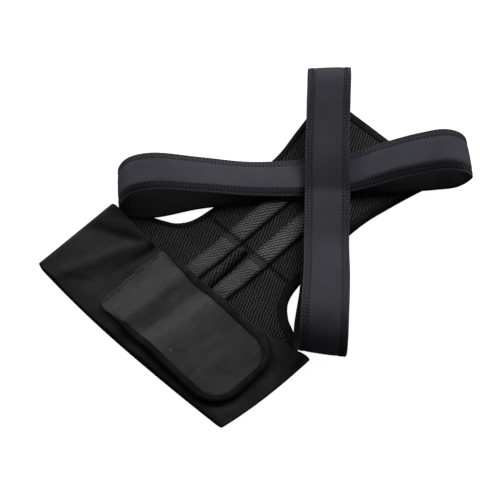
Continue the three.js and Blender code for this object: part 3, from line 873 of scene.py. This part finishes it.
def makeBelt():
    path = beltPath()
    lengths = [0.0]
    for low, high in zip(path, path[1:]):
        lengths.append(lengths[-1] + hypot(high[0] - low[0], high[1] - low[1]))

    def place(row, share, depth):
        atX, atZ, wayX, wayZ = path[row]
        flatX = atX - wayZ * cloth["belt"] * depth
        bottom, top = beltSizes["bottom"], beltSizes["top"]
        if flatX > 0:
            x = flatX * (1 - beltSizes["rightPull"] * (1 - share) ** beltSizes["pullPower"])
            top += beltSizes["rightHitch"] * (flatX / beltSizes["right"]) ** beltSizes["hitchPower"]
            bottom -= beltSizes["bottomSag"] * (1 - (flatX / beltSizes["right"]) ** 2)
        else:
            x = flatX * (1 - beltSizes["leftPull"] * (1 - share))
            leftShare = (flatX / beltSizes["left"]) ** 2
            bottom += mix(-beltSizes["bottomSag"], beltSizes["leftHitch"], leftShare)
        toEnd = (flatX / beltSizes["topSagHalf"]) ** beltSizes["topSagPower"]
        sag = beltSizes["topSag"] * max(1 - toEnd, 0)
        top -= max(wayX, 0) * sag
        y = mix(bottom, top, share) + beltSizes["slope"] * x
        rise = max(wayX, 0) * frontRise(x, y)
        shade = 0.0
        if wayX > beltSizes["creaseWay"]:
            roll = beltSizes["edgeRoll"] * bump(y - bottom, beltSizes["edgeRollReach"])
            rise += linesAt(beltSizes["creases"], x, y) - roll
            shade = beltPaintedShadeAndPatches(x, y)
        z = tapered(x, atZ + rise) + wayX * cloth["belt"] * depth
        return x, y, z, shade

    width = beltSizes["top"] - beltSizes["bottom"]
    section = clothSection(beltSizes["faceSteps"], beltSizes["backSteps"], beltSizes["edgeShare"])
    mesh = wrapCloth("belt_ring", section, width, lengths, place, ring=True)
    piece = addPiece("belt_ring", mesh, makeBeltFinish(), "belt_cloth", "waist_belt")


makeBelt()
print("belt made")

# flap: lighter brushed loop cloth with painted light and shade in leaning bands, nap laid in soft streaks,
# with a little lint
flapLook = {
    "low": 0.066, "high": 0.130, "nap": 0.15, "napShare": 0.16, "fibre": 1.0, "cloud": 30.0, "rise": 0.2,
    "brush": (1, 0.22, 1), "streakFibre": 2.6, "streakCloud": 7.0,
    "cloudShare": 0.35, "streakShare": 0.3, "fineShare": 0.15,
    "speck": 0.22, "speckFibre": 5.5, "speckCloud": 9.0, "speckEdge": (0.88, 0.99),
}


def makeFlapFinish():
    look = flapLook
    finish, tree, shader, coords = newFinish("loopCloth", roughness=0.9, specular=0.08, sheen=0.08)
    grain = grainOn(tree, coords["Object"], look["fibre"], look["cloud"])
    specks = grainOn(tree, coords["Object"], look["speckFibre"], look["speckCloud"])
    brush = tree.nodes.new("ShaderNodeMapping")        # the nap is brushed across the flap
    brush.inputs["Scale"].default_value = look["brush"]
    feed(tree, brush.inputs["Vector"], coords["Object"])
    streaks = grainOn(tree, brush.outputs["Vector"], look["streakFibre"], look["streakCloud"])
    # the mark holds the painted light and shade; cloud and streaks of nap add random tone to it
    laid = readMark(tree)
    for source, share in ((grain["Cloud"], "cloudShare"), (streaks["Cloud"], "streakShare"),
                          (streaks["Fibre"], "fineShare")):
        laid = calc(tree, "MULTIPLY_ADD", calc(tree, "SUBTRACT", source, 0.5), look[share], laid)
    base = mixColour(tree, laid, grey(look["low"]), grey(look["high"]))
    fuzzy = mixColour(tree, times(tree, grain["Fibre"], look["napShare"]), base, grey(look["nap"]))
    lint = rangeNode(tree, times(tree, specks["Fibre"], specks["Cloud"]), *look["speckEdge"])
    feed(tree, shader["Base Color"], mixColour(tree, lint, fuzzy, grey(look["speck"])))
    addBump(tree, shader, grain["Fibre"], look["rise"])
    return finish


def flapUnder(x, y):
    front = tapered(x, beltSizes["loft"] - cloth["belt"] / 2 + frontRise(x, y)) + cloth["belt"] / 2
    return front + cloth["tape"] + 2 * cloth["gap"]


# outline of the flap from its top left corner round the free end
def flapOutline():
    left, right, corner = flapSizes["left"], flapSizes["right"], flapSizes["corner"]
    bottom, top, count = flapSizes["bottom"], flapSizes["top"], flapSizes["outlineSteps"]
    left += flapSizes["leftCorner"] / 2
    line = [Vector((x, top)) for x in steps(left, right - corner, count)]
    for middleY, start in ((top - corner, pi / 2), (bottom + corner, 0)):
        for turn in steps(start, start - pi / 2, flapSizes["turnSteps"]):
            line.append(Vector((right - corner + corner * cos(turn), middleY + corner * sin(turn))))
    line += [Vector((x, bottom)) for x in steps(right - corner, left + flapSizes["bareFoot"], count)]
    # no place twice
    return line[:1] + [point for before, point in zip(line, line[1:]) if (point - before).length > 1e-6]


def makeFlap():
    left, right, corner = flapSizes["left"], flapSizes["right"], flapSizes["corner"]
    middle = (flapSizes["bottom"] + flapSizes["top"]) / 2
    half = (flapSizes["top"] - flapSizes["bottom"]) / 2
    small, worn, cornerHighlight = flapSizes["leftCorner"], flapSizes["worn"], flapSizes["cornerHighlight"]
    xs = [left + small * (1 - cos(turn)) for turn in steps(0, pi / 2, flapSizes["leftSteps"])]
    xs += steps(left + small, right - corner, ceil((right - corner - left - small) / flapSizes["step"]))[1:]
    xs += [right - corner + corner * sin(turn) for turn in steps(0, pi / 2, flapSizes["cornerSteps"])[1:]]

    def frayAt(y):
        return flapSizes["fray"] * wander(0, y, flapSizes["fraySize"], 9.0)

    def place(row, share, depth):
        x = xs[row]
        past = max(x - right + corner, 0)
        early = max(left + small - x, 0)
        reach = half - corner + (corner ** 2 - past ** 2) ** 0.5 - small + (small ** 2 - early ** 2) ** 0.5
        y = middle + reach * (2 * share - 1)
        x += frayAt(y) * (1 - ease(x, left, left + flapSizes["frayReach"]))
        # painted light and shade in leaning bands, darker in broken patches by the sewn edge, and a painted
        # highlight at the top left corner
        nap = tableAt(flapSizes["nap"], x - flapSizes["paintedLightLean"] * (y - middle))
        bare = ease(wander(0, y, worn["size"], 11.0), worn["from"], worn["to"])
        nap -= worn["dark"] * bare * bump(x - left - worn["in"], worn["spread"])
        lit = bump(x - left - cornerHighlight["in"], cornerHighlight["spread"])
        nap += cornerHighlight["light"] * lit * bump(y - flapSizes["top"] + cornerHighlight["down"], cornerHighlight["spread"])
        return x, y, flapUnder(x, y) + cloth["flap"] * (depth + 0.5), nap

    section = clothSection(flapSizes["columns"], flapSizes["backColumns"], flapSizes["edgeShare"])
    mesh = wrapCloth("flap_patch", section, 2 * half, xs, place)
    piece = addPiece("flap_patch", mesh, makeFlapFinish(), "flap_cloth", "closing_flap")

    # short slanted stitches over its sewn edge, some of them worn away
    stitch = flapSizes["stitches"]
    lines = []
    first, last = flapSizes["top"] - stitch["from"], flapSizes["bottom"] + stitch["from"]
    for y in steps(first, last, stitch["count"]):
        if wander(0, y, stitch["size"], 17.0) > stitch["kept"]:
            line = []
            for reach, lift in stitch["places"]:
                end = (left + frayAt(y) + reach, y - stitch["slant"] * reach)
                line.append((*end, flapUnder(*end) + cloth["flap"] + lift))
            lines.append(line)
    thread = sewThread("flap_stitches", lines, stitch["thread"], flapThread, "flap_cloth")
    finish = makeTapeFinish("flapTape", tapeLook["flap"])
    foldedTape("flap_tape", stationsAlong(flapOutline(), flapSizes["tapeSteps"]), cloth["flap"], flapUnder,
               finish, "flap_binding", flapSizes["tapeLeg"], flapSizes["tapeTail"])


makeFlap()
print("flap made")

# shoulder straps: rows round the ring, out along the lower run and back over the top.
# along runs from the crossing to the shoulder, side toward the belt, z is the middle of the cloth,
# tip the rise of the belt-side edge, ride the share of a strap's lift and roll that the row takes
strapSizes = {
    "width": 50, "rowSteps": 10, "faceSteps": 52, "backSteps": 24, "edgeShare": 0.022,
    "rows": [
        (150, -3, 11, 0, 0), (122, -2.5, 7.8, 0, 0), (85, -2, 7.7, 0, 0), (58, -1, 7.8, 0, 0.25),
        (28, 0, 8.4, 0, 0.95), (0, 0, 8.8, 0, 1), (-28, 0, 9.6, 0, 0.95), (-60, 1, 9.4, 0, 0.2),
        (-100, 2, 8, 0, 0), (-150, 5, 7.4, 0, 0), (-200, 11, 9, 0, 0), (-226, 10.5, 14, 0, 0),
        (-236, 7, 29, 1, 0), (-226, 6, 44, 1, 0), (-200, 5, 51, 1, 0), (-145, 2, 36, 3, 0),
        (-92, 1, 22, 4, 0), (-40, 0, 16, 2, 0.6), (0, 0, 17.5, 0, 0.75), (28, 0, 21.5, 0, 0.7),
        (70, -1, 37, -2, 0.1), (105, -2, 46, -4, 0), (136, -3, 49, -5, 0), (157, -3, 41, -2, 0),
        (164, -3, 27, 0, 0),
    ],
    "sagPast": -200, "sagBelow": 30,        # rows that take a strap's sag to the belt
    "hem": 8.6, "hemDrop": 0.25, "hemEdge": (0.8, 2.2), "padRise": 0.35, "padReach": 3,
    "shoulderFrom": (15, 60), "shoulderTo": (140, 160),        # the way to the shoulder fades in and out
    "hemTurnFrom": 14.5, "hemTurnPast": 2, "shoulderTurnFrom": 11, "shoulderTurnPast": 3,
    "insideBelow": 0.1,        # depth in the cloth where the black inside begins
    "thread": 0.28, "threadRise": 0.12, "slopeStep": 0.0005,
}

# degrees from the spine, place of the crossing, shares of the lengths to the shoulder and to the belt;
# a painted shade over the whole face, and the painted shade added by the crossing: strength, start, full
# and end
straps = {
    "right": {
        "degrees": 41, "x": 0, "y": 127, "lift": 0, "roll": 0, "shoulder": 0.955,
        "belt": 1, "skew": 0, "sag": 3.2, "paintedShadeBase": 0, "cross": (0.42, -46, -25, 25),
        "hemTurn": 6.0, "shoulderTurn": 9, "drawIn": 0.3,
    },
    "left": {
        "degrees": -43.7, "x": -2.4, "y": 124.6, "lift": 14.5, "roll": -3.5, "shoulder": 0.862,
        "belt": 0.985, "skew": -0.014, "sag": 0, "paintedShadeBase": 0.22, "cross": (0.45, 46, -25, -29),
        "hemTurn": 0, "shoulderTurn": 0, "drawIn": 0,
    },
}

# charcoal band with two rows of needle marks along each hem, a painted highlight along each rounded edge,
# painted shade from the mark, and a black inside
strapLook = {
    "low": 0.074, "high": 0.096, "blue": threadLook["strapBlue"], "inside": 0.011,
    # edge is the tone of a painted highlight along each rounded edge
    "edge": 0.1, "highlightWide": 1.0, "highlightSolid": 0.4, "fibre": 0.6, "cloud": 40.0,
    "rib": 0.9, "ribShare": 0.25, "ribDark": 0.8, "fineRise": 0.12, "rise": 0.4,
    "rows": [(2.9, 0.3), (7.8, 0.6)],        # from the edge, strength of the sewn line
    "pitch": 4.3, "mark": 0.017, "markWide": 1.9, "markLong": 0.85, "markEdge": (0.3, 1.3),
    "shown": 0.4, "shownMore": 0.55,        # the marks fade in and out along the hem
    "hemLine": 0.024, "hemLineWide": 0.95, "lineEdge": (0.3, 1.2),
}


def makeStrapFinish():
    look, blue = strapLook, strapLook["blue"]
    finish, tree, shader, coords = newFinish("paddedBand", roughness=0.6, specular=0.12, sheen=0.03)
    grain = grainOn(tree, coords["Object"], look["fibre"], look["cloud"])
    flat = splitPlace(tree, coords["UV"])
    rib = ribsOn(tree, flat["X"], look["rib"])
    half = strapSizes["width"] / 2 * mm
    fromEdge = calc(tree, "SUBTRACT", half, calc(tree, "ABSOLUTE", calc(tree, "SUBTRACT", flat["X"], half)))
    shown = calc(tree, "MULTIPLY_ADD", grain["Cloud"], look["shownMore"], look["shown"])
    turn = times(tree, flat["Y"], 1 / mm / look["pitch"])
    ahead = calc(tree, "SUBTRACT", turn, calc(tree, "ROUND", turn))
    ahead = calc(tree, "POWER", times(tree, ahead, look["pitch"] / look["markLong"]), 2.0)
    needle = line = 0.0
    for distance, strength in look["rows"]:
        beside = calc(tree, "SUBTRACT", fromEdge, distance * mm)
        beside = calc(tree, "DIVIDE", beside, look["markWide"] * mm)
        thin = calc(tree, "ABSOLUTE", times(tree, beside, look["markWide"] / look["hemLineWide"]))
        line = calc(tree, "MAXIMUM", line, rangeNode(tree, thin, *look["lineEdge"], strength, 0.0))
        reach = calc(tree, "ADD", calc(tree, "POWER", beside, 2.0), ahead)
        dot = rangeNode(tree, reach, *look["markEdge"], 1.0, 0.0)
        needle = calc(tree, "MAXIMUM", needle, times(tree, dot, shown))
    face = mixColour(tree, grain["Cloud"], grey(look["low"], blue), grey(look["high"], blue))
    ribTone = grey(look["low"] * look["ribDark"], blue)
    face = mixColour(tree, times(tree, rib, look["ribShare"]), face, ribTone)
    # painted highlight along each rounded edge
    solid = look["highlightSolid"] * look["highlightWide"] * mm
    rim = rangeNode(tree, fromEdge, solid, look["highlightWide"] * mm, 1.0, 0.0)
    for share, tone in ((rim, "edge"), (line, "hemLine"), (needle, "mark")):
        face = mixColour(tree, share, face, grey(look[tone], blue))
    # the mark paints the black inside, and painted shade on the upper run
    feed(tree, shader["Base Color"], mixColour(tree, readMark(tree), face, grey(look["inside"])))
    fine = times(tree, calc(tree, "ADD", rib, grain["Fibre"]), look["fineRise"])
    addBump(tree, shader, calc(tree, "SUBTRACT", fine, needle), look["rise"])
    return finish


# point on a closed spline through points, spaced by the square root of their distances
def ringPoint(points, share):
    place = (share % 1) * len(points)
    index = int(place)
    t = place - index
    p0, p1, p2, p3 = (points[(index + i) % len(points)] for i in (-1, 0, 1, 2))
    d1 = (p2 - p1).length ** 0.5 or 1.0
    d0 = (p1 - p0).length ** 0.5 or d1
    d2 = (p3 - p2).length ** 0.5 or d1
    v1 = ((p1 - p0) / d0 - (p2 - p0) / (d0 + d1) + (p2 - p1) / d1) * d1
    v2 = ((p2 - p1) / d1 - (p3 - p1) / (d1 + d2) + (p3 - p2) / d2) * d1
    return p1 + v1 * t + (3 * p2 - 3 * p1 - 2 * v1 - v2) * t ** 2 + (2 * p1 - 2 * p2 + v1 + v2) * t ** 3


def makeStrap(word, finish):
    strap, sizes = straps[word], strapSizes
    middles, tips = [], []
    for along, side, z, tip, ride in sizes["rows"]:
        reach = along * (strap["shoulder"] if along > 0 else strap["belt"])
        sag = strap["sag"] if along <= sizes["sagPast"] and z < sizes["sagBelow"] else 0
        middles.append(Vector((reach, side + sag, z + strap["lift"] * ride)))
        tips.append(Vector((tip + strap["roll"] * ride, 0, 0)))
    half = sizes["width"] / 2
    turn, way = radians(abs(strap["degrees"])), 1 if strap["degrees"] > 0 else -1

    def stationAt(share):
        step = sizes["slopeStep"]
        ahead, behind = ringPoint(middles, share + step), ringPoint(middles, share - step)
        across = Vector((0, half, ringPoint(tips, share).x)).normalized()
        return ringPoint(middles, share), across, (ahead - behind).cross(across).normalized()

    count = len(middles) * sizes["rowSteps"]
    stations = [stationAt(i / count) for i in range(count)]
    lengths = runLengths([station[0] for station in stations + stations[:1]])

    # sewn hem lies lower than the padded middle
    def relief(fromEdge):
        if fromEdge < sizes["hem"]:
            return -sizes["hemDrop"] * ease(fromEdge, *sizes["hemEdge"])
        swell = 1 - exp(-(fromEdge - sizes["hem"]) / sizes["padReach"])
        return mix(-sizes["hemDrop"], sizes["padRise"], swell)

    # the belt-side hem of the upper run turns down, most on the way to the shoulder
    def laid(station, side, height):
        middle, across, outward = station
        toShoulder = ease(middle.x, *sizes["shoulderFrom"]) * (1 - ease(middle.x, *sizes["shoulderTo"]))
        hem = ease(side, sizes["hemTurnFrom"], half + sizes["hemTurnPast"])
        curl = strap["hemTurn"] * (1 - toShoulder) * hem
        hem = ease(side, sizes["shoulderTurnFrom"], half + sizes["shoulderTurnPast"])
        curl += strap["shoulderTurn"] * toShoulder * hem
        curl *= max(outward.z, 0)
        at = middle + across * (side - strap["drawIn"] * curl) + outward * (height - curl)
        if at.x < 0:
            at.x *= 1 + strap["skew"] * side / half
        x = strap["x"] + way * (at.x * sin(turn) + at.y * cos(turn))
        return x, strap["y"] + at.x * cos(turn) - at.y * sin(turn), at.z

    # painted shade: the upper run darkens toward the crossing
    def topPaintedShade(station):
        strength, start, full, end = strap["cross"]
        ramp = ease((station[0].x - start) / (full - start), 0, 1)
        past = ease((station[0].x - full) / (end - full), 0, 1)
        return strap["paintedShadeBase"] + strength * ramp * (1 - past) * max(station[2].z, 0)

    def place(row, share, depth):
        side = half * (2 * share - 1)
        height = cloth["strap"] * depth
        if depth > 0:
            height += relief(half - abs(side)) * 2 * depth
        shade = 1.0 if depth < sizes["insideBelow"] else topPaintedShade(stations[row])
        return *laid(stations[row], side, height), shade

    section = clothSection(sizes["faceSteps"], sizes["backSteps"], sizes["edgeShare"])
    mesh = wrapCloth("strap_band_" + word, section, sizes["width"], lengths, place, ring=True)
    piece = addPiece("strap_band_" + word, mesh, finish, "strap_cloth", "shoulder_strap_" + word)

    # zigzag along both hems: needle points sink into the cloth, the thread rides over it between them
    def zigzag(sign):
        turns = round(lengths[-1] / strapLook["pitch"]) * 2
        near, far = (row[0] for row in strapLook["rows"])
        rise = sizes["threadRise"]
        line = []
        for i in range(turns):
            ends = (far, near) if i % 2 else (near, far)
            for share, lift in ((0.0, -needleDepth), (0.3, rise), (0.7, rise)):
                fromEdge = mix(*ends, share)
                height = cloth["strap"] / 2 + relief(fromEdge) + lift
                line.append(laid(stationAt((i + share) / turns), sign * (half - fromEdge), height))
        return line + line[:1]

    lines = [zigzag(-1), zigzag(1)]
    thread = sewThread("strap_stitches_" + word, lines, sizes["thread"], strapThread, "strap_cloth")


strapFinish = makeStrapFinish()
for word in straps:
    makeStrap(word, strapFinish)
print("straps made")

# floor, camera and lights
cameraSetup = {"azimuth": 45, "elevation": 57, "distance": 1.5, "lens": 98.18, "sensor": 36}
lightSetup = {
    "lamps": [        # name, azimuth, elevation, distance, size, power
        ("keyLight", 180, 45, 1.0, 0.7, 3.85),
        ("backLight", 225, 20, 1.0, 0.6, 1.6),
        ("sideLight", 270, 20, 1.0, 0.6, 2.2),
    ],
    "world": 0.076,
}
floorSetup = {"half": 4.0, "drop": 0.0004, "bounce": 0.25, "white": 0.97, "lit": 0.5}


def around(azimuth, elevation, distance):
    turn, tilt = radians(azimuth), radians(elevation)
    return spot(0, 0, 0) + distance * Vector((sin(turn) * cos(tilt), -cos(turn) * cos(tilt), sin(tilt)))


def aim(item, place):
    bpy.context.scene.collection.objects.link(item)
    item.location = place
    item.rotation_euler = (spot(0, 0, 0) - place).to_track_quat("-Z", "Y").to_euler()


# white where the camera sees it, and a dull bounce for the light
def makeFloorFinish():
    finish = bpy.data.materials.new("whiteFloor")
    finish.use_nodes = True
    tree = finish.node_tree
    tree.nodes.clear()
    seen, lit, glow = (tree.nodes.new(kind) for kind in
                       ("ShaderNodeLightPath", "ShaderNodeBsdfDiffuse", "ShaderNodeEmission"))
    both, choose, out = (tree.nodes.new(kind) for kind in
                         ("ShaderNodeAddShader", "ShaderNodeMixShader", "ShaderNodeOutputMaterial"))
    dull = tree.nodes.new("ShaderNodeBsdfDiffuse")
    lit.inputs["Color"].default_value = grey(floorSetup["lit"])
    dull.inputs["Color"].default_value = grey(floorSetup["bounce"])
    glow.inputs["Strength"].default_value = floorSetup["white"]
    tree.links.new(lit.outputs[0], both.inputs[0])
    tree.links.new(glow.outputs[0], both.inputs[1])
    tree.links.new(seen.outputs["Is Camera Ray"], choose.inputs[0])
    tree.links.new(dull.outputs[0], choose.inputs[1])
    tree.links.new(both.outputs[0], choose.inputs[2])
    tree.links.new(choose.outputs[0], out.inputs[0])
    return finish


def makeFloor():
    bm = bmesh.new()
    bmesh.ops.create_grid(bm, x_segments=1, y_segments=1, size=floorSetup["half"])
    bmesh.ops.translate(bm, verts=bm.verts[:], vec=(0, 0, -floorSetup["drop"]))
    mesh = bpy.data.meshes.new("white_floor")
    bm.to_mesh(mesh)
    bm.free()
    floor = bpy.data.objects.new("white_floor", mesh)
    bpy.context.scene.collection.objects.link(floor)
    mesh.materials.append(makeFloorFinish())


def makeCamera():
    data = bpy.data.cameras.new("photoCamera")
    data.lens = cameraSetup["lens"]
    data.sensor_width = cameraSetup["sensor"]
    camera = bpy.data.objects.new("photoCamera", data)
    aim(camera, around(cameraSetup["azimuth"], cameraSetup["elevation"], cameraSetup["distance"]))
    bpy.context.scene.camera = camera


def makeLights():
    for name, azimuth, elevation, distance, size, power in lightSetup["lamps"]:
        data = bpy.data.lights.new(name, "AREA")
        data.shape = "DISK"
        data.size = size
        data.energy = power
        aim(bpy.data.objects.new(name, data), around(azimuth, elevation, distance))
    world = bpy.data.worlds.new("studio")
    bpy.context.scene.world = world
    world.use_nodes = True
    world.node_tree.nodes["Background"].inputs["Color"].default_value = grey(1.0)
    world.node_tree.nodes["Background"].inputs["Strength"].default_value = lightSetup["world"]
    bpy.context.scene.view_settings.view_transform = "Standard"


makeFloor()
makeCamera()
makeLights()
print("floor, camera and lights set")
